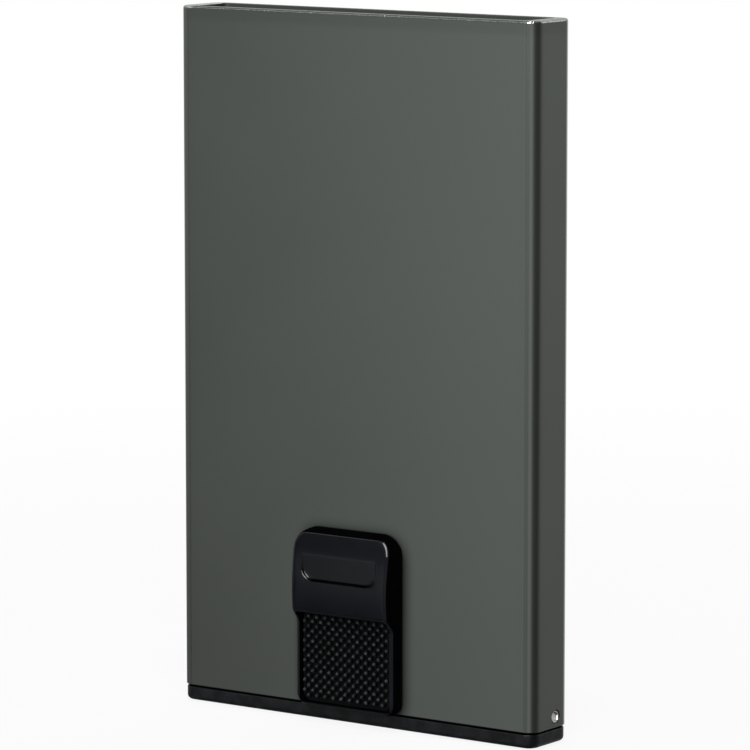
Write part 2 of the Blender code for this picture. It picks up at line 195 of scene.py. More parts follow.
# The "center" or the "normal" of each face
def faceVectors(mesh, kind):
    vectors = np.empty(len(mesh.polygons) * 3)
    mesh.polygons.foreach_get(kind, vectors)
    return vectors.reshape(-1, 3)


# Further materials, each on the faces that are picked for it, the later ones over the earlier
def useOthers(piece, others):
    index = np.zeros(len(piece.data.polygons), dtype=np.int32)
    for number, (material, picked) in enumerate(others, 1):
        piece.data.materials.append(material)
        index[picked] = number
    piece.data.polygons.foreach_set("material_index", index)


# Gives the piece its material and its body, and hides the nodes that it stands for
def dress(piece, material, body, nodes):
    piece.data.materials.clear()
    piece.data.materials.append(material)
    weighted = piece.modifiers.new("evenShading", "WEIGHTED_NORMAL")
    weighted.keep_sharp = True
    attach(piece, body)
    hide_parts(*nodes)


# Outline of a rounded rectangle: for each corner in turn, a quarter circle about the corner's centre
def roundedLoop(halfA, halfB, radius, steps):
    radius = max(radius, hair)
    turn = np.linspace(0, np.pi / 2, steps + 1)
    corners = [(1, -1, -np.pi / 2), (1, 1, 0), (-1, 1, np.pi / 2), (-1, -1, np.pi)]
    parts = [
        np.stack([
            signA * (halfA - radius) + radius * np.cos(turn + start),
            signB * (halfB - radius) + radius * np.sin(turn + start),
        ], axis=-1)
        for signA, signB, start in corners
    ]
    return np.concatenate(parts)


# Level rings carried up a profile: each is a rounded rectangle of its own half sizes, radius and height
def levelRings(profile, steps):
    rings = []
    for halfX, halfY, radius, height in profile:
        loop = roundedLoop(halfX, halfY, radius, steps)
        rings.append(np.column_stack([loop, np.full(len(loop), height)]))
    return np.stack(rings)


# Quarter circle from (0, 0) to (size, size): its distances along and across. It sets out across.
def quarterRound(size, steps):
    turn = np.linspace(0, np.pi / 2, steps + 1)
    return size * (1 - np.cos(turn)), size * np.sin(turn)


# Stations of a cutter, (depth, growth): it flares in a quarter circle at the face, for a rounded mouth
def flaredStations(size, steps, end):
    along, across = quarterRound(size, steps)
    return [(cutterStart, size)] + [(a, size - b) for a, b in zip(along, across)] + [(end, 0.0)]


# How much of a round corner's reach is lost at a distance from its end
def arcLoss(distance, radius):
    rest = np.clip(radius - distance, 0, radius)
    return radius - np.sqrt(radius ** 2 - rest ** 2)


# Distance inside a rounded rectangle, from its nearest edge: the radius less the reach past the
# corner's centre
def insideDistance(x, z, halfWidth, low, high, radius):
    acrossX = np.abs(x) - (halfWidth - radius)
    acrossZ = np.abs(z - (low + high) / 2) - ((high - low) / 2 - radius)
    outside = np.hypot(np.maximum(acrossX, 0), np.maximum(acrossZ, 0))
    return radius - outside - np.minimum(np.maximum(acrossX, acrossZ), 0)


# Anodised aluminium: extruded, finely blasted and dyed a dark grey-green. The eye gets a satin metal with
# soft, wide reflections, a colour that drifts a little, and a few bright specks where a grain broke out.
anodised = {
    "color": "686d68", "paler": "6f746f", "driftMm": 26.0,
    "roughness": 0.2, "roughnessDrift": 0.02,
    "grainMm": 0.09,  # blasted grain is 0.03 mm; drawn coarser, so that it shows
    "grainHeightMm": 0.0008, "grainStrength": 0.5,
    "speckPitchMm": 7.0,
    "speckMm": 0.09,
    "speckShare": 0.12,  # of the pitch's cells that hold a speck
    "speckColor": "a9aca6",
    # painted highlight on the side walls' tops, the right one less
    "rimHighlightColor": "d2d4d0", "rimHighlightBeyond": 28.0, "rimHighlightOver": 1.0, "rimHighlightLeft": 0.8, "rimHighlightRight": 0.1,
    # painted contact shadow where another piece stands close: how near, below which openness, and how far
    # the samples lean
    "contactMm": 2.1, "contactFrom": 0.52, "contactTilt": 0.5, "contactSamples": 8,
    "contactShadowColor": "050606",
    # unevenness of the filed rim, which breaks up its glints
    "filedFrom": 101.55, "filedOver": 0.25, "filedMm": 0.35, "filedHeightMm": 0.08,
}


def makeAnodised():
    a = anodised
    material, tree, output, place = newMaterial("anodisedAluminium")
    drift = addNoise(tree, place, a["driftMm"], 3.0)
    tint = addMix(tree, drift, linearColor(a["color"]), linearColor(a["paler"]))
    grain = addNoise(tree, place, a["grainMm"], 2.0)
    blasted = addBump(tree, grain, a["grainHeightMm"], a["grainStrength"])
    smoothest, roughest = a["roughness"] - a["roughnessDrift"], a["roughness"] + a["roughnessDrift"]
    gloss = addRange(tree, drift, target=(smoothest, roughest))
    # Specks: the middle of a few cells of a 3-D cell pattern
    cells = addNode(tree, "ShaderNodeTexVoronoi", {"Vector": place, "Scale": 1 / (a["speckPitchMm"] * mm)})
    near = addMath(tree, "LESS_THAN", cells.outputs["Distance"], a["speckMm"] / a["speckPitchMm"])
    picked = addMath(tree, "LESS_THAN", cells.outputs["Color"], a["speckShare"])
    speck = addMath(tree, "MULTIPLY", near, picked)
    flecked = addMix(tree, speck, tint, linearColor(a["speckColor"]))
    # The rim: filed all round, and given a painted near-white highlight above the side walls, the left one
    # brighter
    part = addNode(tree, "ShaderNodeSeparateXYZ", {0: place})
    atRim = addRange(tree, part.outputs["Z"], (
        a["filedFrom"] * mm, (a["filedFrom"] + a["filedOver"]) * mm))
    sides = [
        addRange(tree, part.outputs["X"], (
            side * a["rimHighlightBeyond"] * mm, side * (a["rimHighlightBeyond"] + a["rimHighlightOver"]) * mm), (0.0, share))
        for side, share in ((-1, a["rimHighlightLeft"]), (1, a["rimHighlightRight"]))
    ]
    either = addMath(tree, "ADD", *sides)
    rimHighlight = addMath(tree, "MULTIPLY", atRim, either)
    highlit = addMix(tree, rimHighlight, flecked, linearColor(a["rimHighlightColor"]))
    # Painted contact shadow: the base colour darkens toward a near-black where another piece stands close
    # to the face, below or beside it. Its samples lean upwards, as the light comes from above.
    facing = addNode(tree, "ShaderNodeNewGeometry").outputs["Normal"]
    upwards = (0, 0, a["contactTilt"])
    raised = addNode(tree, "ShaderNodeVectorMath", {0: facing, 1: upwards}, operation="ADD")
    leant = addNode(tree, "ShaderNodeVectorMath", {0: raised.outputs[0]}, operation="NORMALIZE")
    openness = addNode(tree, "ShaderNodeAmbientOcclusion", {
        "Distance": a["contactMm"] * mm, "Normal": leant.outputs[0]}, samples=a["contactSamples"])
    shade = addRange(tree, openness.outputs["AO"], (a["contactFrom"], 1.0), (1.0, 0.0))
    contact = addMix(tree, shade, highlit, linearColor(a["contactShadowColor"]))
    strokes = addNoise(tree, place, a["filedMm"], 1.0)
    filed = addBump(tree, strokes, a["filedHeightMm"], atRim, blasted)
    addShader(tree, output, {"Base Color": contact, "Metallic": 1.0, "Roughness": gloss, "Normal": filed})
    return material


# Plastics and rubber share one build: a moulded grain, and a colour that drifts between two tones over
# some millimetres, as the mould's finish and the handling leave it. "sheen" is the specular level.
plastics = {
    # ABS from a spark-eroded mould: matt, faintly mottled, a blue-black
    "mouldedAbs": {"color": "0a0c0f", "paler": "1f2124", "driftMm": 1.3, "roughness": 0.36, "sheen": 0.18,
                   "grainMm": 0.16, "heightMm": 0.004},
    # ABS from a polished mould: a clear mirror with a thin haze of handling
    "glossAbs": {"color": "0e1017", "paler": "11141a", "driftMm": 5.0, "roughness": 0.1, "sheen": 0.18,
                 "grainMm": 0.9, "heightMm": 0.0004},
    # the same moulding's panel, which thumbs have polished a little more: it mirrors more light
    "thumbedAbs": {"color": "0e1017", "paler": "11141a", "driftMm": 5.0, "roughness": 0.1, "sheen": 0.26,
                   "grainMm": 0.9, "heightMm": 0.0004},
    # painted shade: a near-black copy of the same moulding that mirrors nothing, for faces that the light
    # leaves dark
    "paintedShadeAbs": {"color": "050506", "paler": "070708", "driftMm": 3.0, "roughness": 0.6, "sheen": 0.0,
                 "grainMm": 0.2, "heightMm": 0.004},
    # rubber, moulded: a dull black
    "footRubber": {"color": "0a0a0a", "paler": "101010", "driftMm": 2.0, "roughness": 0.6, "sheen": 0.15,
                   "grainMm": 0.1, "heightMm": 0.004},
    # acetal, milled and tumbled: dark grey and waxy
    "acetal": {"color": "26272a", "paler": "2b2c2f", "driftMm": 4.0, "roughness": 0.35, "sheen": 0.4,
               "grainMm": 0.2, "heightMm": 0.001},
    # wool felt, pressed: a charcoal nap; its fibres are 0.02 mm and are drawn coarser, so that they show
    "feltPile": {"color": "161617", "paler": "232324", "driftMm": 0.5, "roughness": 0.9, "sheen": 0.1,
                 "grainMm": 0.08, "heightMm": 0.03},
}
mottleRange = (0.35, 0.65)  # of the noise, over which one tone goes over into the other
fineStrength = 0.6  # of the fine relief of plastics, rubber and metals


def makePlastic(name):
    p = plastics[name]
    material, tree, output, place = newMaterial(name)
    mottle = addRange(tree, addNoise(tree, place, p["driftMm"], 2.0), mottleRange)
    tint = addMix(tree, mottle, linearColor(p["color"]), linearColor(p["paler"]))
    grain = addBump(tree, addNoise(tree, place, p["grainMm"], 3.0), p["heightMm"], fineStrength)
    addShader(tree, output, {
        "Base Color": tint, "Roughness": p["roughness"], "Specular IOR Level": p["sheen"],
        "Normal": grain})
    return material


# Moulded rubber with studs: the studs' tips are painted grey as a painted highlight, and the valleys black
# as painted shade
paintedStudRubber = {
    "valley": "030405", "tip": "313437", "brightTip": "4e5155",
    "litFrom": 1.62, "litTo": 1.92,  # millimetres in front of the tube's face, over which the valleys' painted shade goes over into the tips' painted highlight
    "patchMm": 1.1, "patchRange": (0.4, 0.65),  # tips differ over about a stud's pitch
    "roughness": 0.45, "sheen": 0.06, "grainMm": 0.12, "heightMm": 0.002,
}


def makePaintedStudRubber():
    r = paintedStudRubber
    material, tree, output, place = newMaterial("paintedStudRubber")
    part = addNode(tree, "ShaderNodeSeparateXYZ", {0: place})
    highlit = addRange(tree, part.outputs["Y"], (
        -(tubeFace + r["litFrom"]) * mm, -(tubeFace + r["litTo"]) * mm), interpolation_type="SMOOTHSTEP")
    picked = addRange(tree, addNoise(tree, place, r["patchMm"], 1.0), r["patchRange"])
    tips = addMix(tree, picked, linearColor(r["tip"]), linearColor(r["brightTip"]))
    tint = addMix(tree, highlit, linearColor(r["valley"]), tips)
    grain = addBump(tree, addNoise(tree, place, r["grainMm"], 2.0), r["heightMm"], fineStrength)
    addShader(tree, output, {
        "Base Color": tint, "Roughness": r["roughness"], "Specular IOR Level": r["sheen"],
        "Normal": grain})
    return material


# Bare metals, each with a fine relief of its own that softens its glints
metals = {
    # ground and lightly hammered flush: a bright, uneven face
    "groundSteel": {"color": "d9d8d4", "roughness": 0.26, "grainMm": 0.4, "heightMm": 0.008},
    # the tube's bore: drawn and not blasted, and dull; its darker colour is painted shade inside the tube
    "boreShadeAluminium": {"color": "383b38", "roughness": 0.7, "grainMm": 0.4, "heightMm": 0.01},
    # cold rolled strip: even and satin
    "rolledSteel": {"color": "9a9a9c", "roughness": 0.3, "grainMm": 0.2, "heightMm": 0.001},
    # zinc plated: a dull blue-grey
    "zincPlate": {"color": "8c8d90", "roughness": 0.35, "grainMm": 0.3, "heightMm": 0.001},
}


def makeMetal(name):
    m = metals[name]
    material, tree, output, place = newMaterial(name)
    grain = addBump(tree, addNoise(tree, place, m["grainMm"], 2.0), m["heightMm"], fineStrength)
    addShader(tree, output, {
        "Base Color": linearColor(m["color"]), "Metallic": 1.0, "Roughness": m["roughness"],
        "Normal": grain})
    return material


anodisedMaterial = makeAnodised()
plasticMaterials = {name: makePlastic(name) for name in plastics}
metalMaterials = {name: makeMetal(name) for name in metals}
paintedStudMaterial = makePaintedStudRubber()
print("materials made")


tube = {
    "halfWidth": 31.0, "halfDepth": tubeFace, "cornerRadius": 1.9, "cornerSteps": 18,
    "boreHalfWidth": 28.7, "boreHalfDepth": 3.59, "boreRadius": 0.8,
    "boreMargin": 0.04,  # faces within this of the bore are bore
    "low": 2.3, "high": 102.0, "rimRound": 0.4, "rimInnerRound": 0.15, "footRound": 0.14,
    "slotHalfWidth": 4.0, "slotLow": 4.4, "slotHigh": 26.4, "slotRound": 0.2, "slotCut": 2.2,
    "slotSteps": 16,
    "pinHoleRadius": 0.99, "pinY": 1.1, "pinZ": 3.85, "pinHoleRound": 0.1, "pinHoleCut": 3.3,
    "pinHoleSides": 48,
}


def makeTube():
    t = tube
    along, across = quarterRound(t["rimRound"], 9)
    innerAlong, innerAcross = quarterRound(t["rimInnerRound"], 5)
    footAlong, footAcross = quarterRound(t["footRound"], 4)

    def outer(inset, height):
        return (t["halfWidth"] - inset, t["halfDepth"] - inset, t["cornerRadius"] - inset, height)

    def inner(inset, height):
        return (t["boreHalfWidth"] + inset, t["boreHalfDepth"] + inset, t["boreRadius"] + inset, height)

    # The wall's closed section: up the outside, over the rounded rim, down the bore and back under
    profile = [outer(t["footRound"] - b, t["low"] + t["footRound"] - c)
               for b, c in zip(footAcross, t["footRound"] - footAlong)]
    profile += [outer(a, t["high"] - t["rimRound"] + b) for a, b in zip(along, across)]
    profile += [inner(a, t["high"] - t["rimInnerRound"] + b)
                for a, b in zip(innerAlong[::-1], innerAcross[::-1])]
    profile += [inner(0, t["low"])]
    piece = buildPiece("tubeShell", [(levelRings(profile, t["cornerSteps"]), True, True, False)])

    # Slot and pin holes
    half = (t["slotHigh"] - t["slotLow"]) / 2
    middle = (t["slotHigh"] + t["slotLow"]) / 2
    rings = []
    for depth, grow in flaredStations(t["slotRound"], 4, t["slotCut"]):
        halfWidth = t["slotHalfWidth"] + grow
        loop = roundedLoop(halfWidth, half + grow, halfWidth - hair, t["slotSteps"])
        rings.append(np.column_stack([
            loop[:, 0], np.full(len(loop), depth - t["halfDepth"]), loop[:, 1] + middle]))
    tools = [buildPiece("slotTool", [(np.stack(rings), False, True, True)])]
    turn = np.linspace(0, 2 * np.pi, t["pinHoleSides"], endpoint=False)
    for side in (-1, 1):
        rings = [
            np.column_stack([
                np.full(len(turn), side * (t["halfWidth"] - depth)),
                t["pinY"] + (t["pinHoleRadius"] + grow) * np.cos(turn),
                t["pinZ"] + (t["pinHoleRadius"] + grow) * np.sin(turn)])
            for depth, grow in flaredStations(t["pinHoleRound"], 3, t["pinHoleCut"])
        ]
        tools.append(buildPiece("pinHoleTool", [(np.stack(rings), False, True, True)]))
    carve(piece, tools)
    dress(piece, anodisedMaterial, "housing", ["housing_tube"])
    centres = np.abs(faceVectors(piece.data, "center"))
    inBore = centres[:, 0] < (t["boreHalfWidth"] + t["boreMargin"]) * mm
    inBore &= centres[:, 1] < (t["boreHalfDepth"] + t["boreMargin"]) * mm
    # the bore gets the darker metal: painted shade inside the tube
    useOthers(piece, [(metalMaterials["boreShadeAluminium"], inBore)])


makeTube()
print("tube made")


base = {
    "halfWidth": 30.88, "halfDepth": 4.58, "cornerRadius": 1.78, "footRound": 0.7, "lipRound": 0.1,
    "top": 2.0, "sealInset": 0.14, "sealTop": 2.27, "sealMargin": 0.01, "cornerSteps": 16,
    "plugHalfWidth": 28.4, "plugHalfDepth": 3.29, "plugRadius": 0.5, "plugTop": 3.4,
    "restLow": 3.0, "restTop": 15.6, "restFromX": 17.1, "restToX": 28.3, "restFromY": -1.99,
    "restToY": 3.19, "restCorner": 0.5, "restRound": 0.3,
    "pocketMiddle": 20.0, "pocketHalfLength": 6.3, "pocketHalfWidth": 2.5, "pocketRadius": 1.3,
    "pocketDepth": 0.9,
}


def makeBase():
    b = base
    # Side view of the rim: quarter round at the foot, straight side, smaller quarter round at the lip
    turn = np.linspace(0, np.pi / 2, 9)
    insets = list(b["footRound"] * (1 - np.sin(turn)))
    heights = list(b["footRound"] * (1 - np.cos(turn)))
    lip = np.linspace(0, np.pi / 2, 6)
    insets += list(b["lipRound"] * (1 - np.cos(lip)))
    heights += list(b["top"] - b["lipRound"] * (1 - np.sin(lip)))
    profile = [
        (b["halfWidth"] - i, b["halfDepth"] - i, b["cornerRadius"] - i, z)
        for i, z in zip(insets, heights)]
    seal = [b[key] - b["sealInset"] - b["lipRound"] for key in ("halfWidth", "halfDepth", "cornerRadius")]
    profile += [(*seal, b["top"]), (*seal, b["sealTop"])]
    plug = (b["plugHalfWidth"], b["plugHalfDepth"], b["plugRadius"])
    profile += [(*plug, b["sealTop"]), (*plug, b["plugTop"])]
    grids = [(levelRings(profile, b["cornerSteps"]), False, True, True)]
    # The two rests that the cards stand on, inside the tube
    halfX = (b["restToX"] - b["restFromX"]) / 2
    halfY = (b["restToY"] - b["restFromY"]) / 2
    along, across = quarterRound(b["restRound"], 4)
    for side in (-1, 1):
        rest = [(halfX, halfY, b["restCorner"], b["restLow"])]
        rest += [(halfX - i, halfY - i, b["restCorner"], b["restTop"] - b["restRound"] + z)
                 for i, z in zip(along, across)]
        rings = levelRings(rest, 6)
        rings[:, :, 0] += side * (b["restFromX"] + halfX)
        rings[:, :, 1] += b["restFromY"] + halfY
        grids.append((rings, False, True, True))
    piece = buildPiece("baseMoulding", grids)
    # Pockets for the feet, in the underside
    tools = []
    for side in (-1, 1):
        size = (b["pocketHalfLength"], b["pocketHalfWidth"], b["pocketRadius"])
        rings = levelRings([(*size, cutterStart), (*size, b["pocketDepth"])], 8)
        rings[:, :, 0] += side * b["pocketMiddle"]
        tools.append(buildPiece("pocketTool", [(rings, False, True, True)]))
    carve(piece, tools)
    dress(piece, plasticMaterials["mouldedAbs"], "housing", ["base_cap"])
    # The seal in the seam, and all that stands inside the tube, gets the black copy: painted shade in the
    # seam
    heights = faceVectors(piece.data, "center")[:, 2]
    useOthers(piece, [(plasticMaterials["paintedShadeAbs"], heights > (b["top"] + b["sealMargin"]) * mm)])


makeBase()
print("base made")


pin = {
    "radius": 0.93, "face": 30.95, "length": 6.9, "y": 1.1, "z": 3.85, "sides": 40, "chamfer": 0.15,
    "uneven": 0.04, "unevenWithin": 0.8, "secondWave": 0.7,
    "lean": 0.27,  # the bright face leans upwards by this much of its width
    "brightRadius": 0.69,
    # the driven end, ring by ring: radius, how far its middle is off the axis, how deep it lies
    "end": [(0.0005, -0.14, 0.03), (0.2, -0.14, 0.02), (0.45, -0.14, 0.0), (0.64, -0.14, 0.0),
            (0.69, -0.12, 0.12), (0.75, -0.09, 0.03), (0.84, -0.02, 0.02), (0.93, 0.0, 0.12)],
}


# Turned about its axis, with an uneven driven end: radius times
# 1 + uneven (sin(3t + 1) + secondWave sin(5t)). A groove off the middle parts the bright face from a
# crescent of the pin's edge.
def makePins():
    p = pin
    turn = np.linspace(0, 2 * np.pi, p["sides"], endpoint=False)
    radii, shift, depths = (np.array(column)[:, None] for column in zip(*p["end"]))
    waves = np.sin(3 * turn + 1) + p["secondWave"] * np.sin(5 * turn)
    wave = 1 + p["uneven"] * waves * (radii < p["unevenWithin"])
    tail = np.array([[p["radius"]], [p["radius"] - p["chamfer"]]])
    acrossY = np.concatenate([shift + radii * wave * np.cos(turn), tail * np.cos(turn)])
    acrossZ = np.concatenate([radii * wave * np.sin(turn), tail * np.sin(turn)])
    bright = radii <= p["brightRadius"]
    leaning = p["lean"] * (acrossZ[:len(radii)] + p["brightRadius"]) * bright
    reach = np.concatenate([depths + leaning, np.full((2, len(turn)), p["length"])])
    reach[-2] -= p["chamfer"]
    for side, name in ((-1, "left"), (1, "right")):
        rings = np.stack([side * (p["face"] - reach), p["y"] + acrossY, p["z"] + acrossZ], axis=-1)
        piece = buildPiece("pin_" + name, [(rings, False, True, True)])
        dress(piece, metalMaterials["groundSteel"], "housing", ["base_pin_" + name])


makePins()
print("pins made")


button = {
    "halfWidth": 8.75, "low": 2.3, "high": 28.3, "topRadius": 3.1, "footRadius": 1.7, "middle": 9.0,
    "edge": 0.64, "draft": 0.12, "backGap": 0.4,
    # side view: the bevel at the top, the low part, the head's crown and the ramp between them
    "slopeFrom": 27.68, "slopeLean": 58.0, "slopeEase": 0.1,
    "lowProtrusion": 2.1, "crownProtrusion": 3.65, "crownZ": 19.5, "crownFall": 1.3,
    "rampLow": 14.5, "rampHigh": 16.5, "rampStraight": 0.45, "rampEased": 0.55,
    "panelHalf": 6.5, "panelLow": 21.0, "panelRadius": 1.9, "panelDepth": 0.45, "panelWall": 0.56,
    "panelLean": 74.0,
    "recessHalf": 7.9, "recessLow": 2.8, "recessHigh": 16.1, "recessFoot": 1.4, "recessTop": 0.4,
    "recessFloor": 0.9,
    "neckHalf": 3.7, "neckLow": 4.7, "neckHigh": 13.1, "neckReach": 0.1, "neckOverlap": 0.2,
    # steps of the rows over the recess, over the head and over the panel, and the least one
    "recessRow": 0.45, "headRow": 0.3, "panelRow": 0.25, "leastRow": 0.012,
    "window": 0.34, "windowGap": 0.04,  # reach of the close columns on both sides of a wall
    # by the faces' normals: what stays polished, what gets the painted shade, and what belongs to the
    # painted shade line at the panel's foot
    "paintedShadeAbove": -0.64, "lineFromX": -0.62, "lineToX": 0.12, "lineFromZ": 0.4,
    "sharpDegrees": 32,
}


def makeButton():
    b = button
    low, high = b["low"], b["high"]
    # Rows lie close together where the surface bends
    quarter = 1 - np.cos(np.linspace(0, np.pi / 2, 13))
    atWall = np.array([-0.01, 0.01])
    rows = np.unique(np.round(np.concatenate([
        low + b["footRadius"] * quarter,
        low + b["edge"] * quarter,
        b["recessLow"] + b["recessFoot"] * quarter,
        b["recessLow"] + atWall, b["recessHigh"] + atWall,
        b["recessHigh"] - b["recessTop"] * quarter,
        np.arange(4.4, b["rampLow"] - 0.3, b["recessRow"]),
        np.linspace(b["rampLow"] - 0.3, b["rampHigh"] + 0.3, 30),
        np.arange(b["rampHigh"] + 0.5, b["panelLow"] - 0.4, b["headRow"]),
        b["panelLow"] + b["panelWall"] * np.linspace(-0.6, 0.6, 25),
        b["panelLow"] + b["panelRadius"] * quarter,
        np.arange(b["panelLow"] + b["panelRadius"], high - 0.4, b["panelRow"]),
        high - b["topRadius"] * quarter,
        b["slopeFrom"] + b["slopeEase"] * np.linspace(-3, 3, 13),
        high - b["edge"] * quarter,
    ]), 3))
    keep = np.concatenate([[True], np.diff(rows) > b["leastRow"]])
    z = rows[keep][:, None]

    # Side view: a low level, an eased slope, a head whose face falls back on both sides of its crown, and
    # a bevel along its top: a straight fall, eased in as half of (past + sqrt(past^2 + ease^2))
    share = np.clip((z - b["rampLow"]) / (b["rampHigh"] - b["rampLow"]), 0, 1)
    eased = b["rampStraight"] * share + b["rampEased"] * share * share * (3 - 2 * share)
    head = b["crownProtrusion"] - b["crownFall"] * ((z - b["crownZ"]) / (high - b["crownZ"])) ** 2
    level = b["lowProtrusion"] + (head - b["lowProtrusion"]) * eased
    past = z - b["slopeFrom"]
    level = level - math.tan(math.radians(b["slopeLean"])) * (past + np.hypot(past, b["slopeEase"])) / 2
    frontHalf = b["halfWidth"] - b["draft"] * (level - b["edge"] - b["backGap"])
    loss = arcLoss(z - low, b["footRadius"]) + arcLoss(high - z, b["topRadius"])
    outline = frontHalf - loss

    # Columns follow the outline of the recess, then that of the panel, then the button's own
    recessLoss = arcLoss(z - b["recessLow"], b["recessFoot"])
    recess = b["recessHalf"] - recessLoss - arcLoss(b["recessHigh"] - z, b["recessTop"])
    panel = b["panelHalf"] - arcLoss(z - b["panelLow"], b["panelRadius"])
    between = np.clip((z - b["recessHigh"]) / (b["panelLow"] - b["recessHigh"]), 0, 1)
    guide = recess * (1 - between) + panel * between
    window = b["window"]
    guide = np.minimum(guide, outline - b["edge"] - window - b["windowGap"])
    offsets = np.concatenate([np.linspace(-1, -0.16, 8), [-0.03, 0.03], np.linspace(0.16, 1, 8)]) * window
    inner = (guide - window) * np.linspace(0, 1, 14)[None, :-1]
    nearGuide = guide + offsets[None, :]
    rimStart, rimEnd = guide + window, outline - b["edge"]
    rim = rimStart + (rimEnd - rimStart) * np.linspace(0, 1, 5)[None, 1:-1]
    turn = np.linspace(0, np.pi / 2, 9)
    edge = outline - b["edge"] * (1 - np.sin(turn))[None, :]
    right = np.concatenate([inner, nearGuide, rim, edge], axis=1)
    x = np.concatenate([-right[:, :0:-1], right], axis=1)
    zAll = np.broadcast_to(z, x.shape)

    # Thumb panel: a flat face behind the crowned one. It runs out upwards where the crowned face has
    # fallen back as far as the flat one. Its wall is two equal arcs, one over the edge and one into the
    # floor: each falls as 1 - sqrt(1 - (u sin lean)^2) over its half of the way.
    height = np.broadcast_to(level, x.shape)
    flat = b["crownProtrusion"] - b["panelDepth"]
    sunk = insideDistance(x, zAll, b["panelHalf"], b["panelLow"], 2 * high, b["panelRadius"])
    wall = np.clip(sunk / b["panelWall"] + 0.5, 0, 1)
    lean = math.radians(b["panelLean"])
    half = 1 - np.abs(2 * wall - 1)
    arc = (1 - np.sqrt(1 - (half * math.sin(lean)) ** 2)) / (1 - math.cos(lean)) / 2
    height = height - np.maximum(height - flat, 0) * np.where(wall < 0.5, arc, 1 - arc)
    # Rounded edge: a quarter circle in the distance from the outline
    radius = np.where(zAll < (low + high) / 2, b["footRadius"], b["topRadius"])
    inside = np.clip(insideDistance(x, zAll, frontHalf, low, high, radius), 0, b["edge"])
    height = height - arcLoss(inside, b["edge"])
    # Recess for the pad: straight walls down to its floor
    corner = np.where(zAll < b["middle"], b["recessFoot"], b["recessTop"])
    inRecess = insideDistance(x, zAll, b["recessHalf"], b["recessLow"], b["recessHigh"], corner) > 0
    height = np.where(inRecess, b["recessFloor"], height)

    # Side walls lean out to the back, and the back closes the ring
    fall = np.linspace(0, 1, 4)[None, 1:]
    sideHeight = b["backGap"] + (height[:, :1] - b["backGap"]) * (1 - fall)
    sideX = outline + (b["halfWidth"] - frontHalf) * fall
    ringX = np.concatenate([-sideX[:, ::-1], x, sideX], axis=1)
    ringY = np.concatenate([sideHeight[:, ::-1], height, sideHeight], axis=1)
    ringZ = np.broadcast_to(z, ringX.shape)
    body = np.stack([ringX, -(tubeFace + ringY), ringZ], axis=-1)

    # The neck that reaches into the slot
    halfNeck = (b["neckHigh"] - b["neckLow"]) / 2
    loop = roundedLoop(b["neckHalf"], halfNeck, b["neckHalf"] - hair, 12)
    neck = np.stack([
        np.column_stack([
            loop[:, 0], np.full(len(loop), depth - tubeFace), loop[:, 1] + b["neckLow"] + halfNeck])
        for depth in (-b["backGap"] - b["neckOverlap"], b["neckReach"])
    ])
    grids = [(body, False, True, True), (neck, False, True, True)]
    piece = buildPiece("thumbButton", grids, b["sharpDegrees"])
    dress(piece, plasticMaterials["glossAbs"], "slider", ["slider_button"])
    # Faces that look forward are polished, the panel most. The others get the black copy as painted shade,
    # and so do the recess under the pad and a painted shade line at the panel's foot.
    normals, centres = (faceVectors(piece.data, kind) for kind in ("normal", "center"))
    inPad = (np.abs(centres[:, 0]) < b["recessHalf"] * mm) & (centres[:, 2] < b["recessHigh"] * mm)
    inPad &= centres[:, 2] > b["recessLow"] * mm
    inShadeLine = (normals[:, 0] > b["lineFromX"]) & (normals[:, 0] < b["lineToX"])
    inShadeLine &= normals[:, 2] > b["lineFromZ"]
    inShadeLine &= np.abs(centres[:, 2] - b["panelLow"] * mm) < 2 * b["panelWall"] * mm
    # the panel ends where the crowned face has fallen back by its depth
    panelTop = b["crownZ"] + (high - b["crownZ"]) * math.sqrt(b["panelDepth"] / b["crownFall"])
    faceX, faceZ = centres[:, 0] / mm, centres[:, 2] / mm
    sunk = insideDistance(faceX, faceZ, b["panelHalf"], b["panelLow"], 2 * high, b["panelRadius"])
    onPanel = (sunk > b["panelWall"] / 2) & (faceZ < panelTop)
    useOthers(piece, [
        (plasticMaterials["thumbedAbs"], onPanel),
        (plasticMaterials["paintedShadeAbs"], (normals[:, 1] > b["paintedShadeAbove"]) | inPad | inShadeLine),
    ])
    # The satin tube shows no clear mirror image of the button
    piece.visible_glossy = False


makeButton()
print("button made")


pad = {
    "halfWidth": 7.84, "low": 2.86, "high": 16.04, "footRadius": 1.34,
    "back": 0.95, "face": 1.25, "round": 0.1,
    "pitchX": 1.44, "pitchZ": 0.72, "firstX": -0.05, "firstZ": 3.09, "margin": 0.5,
    "studRadius": 0.44, "studTip": 0.24, "studTop": 2.0, "studSunk": 0.08, "studSides": 10,
    "tipAngles": (0.35, 0.75, 1.15, 1.45), "sharpDegrees": 50,
}


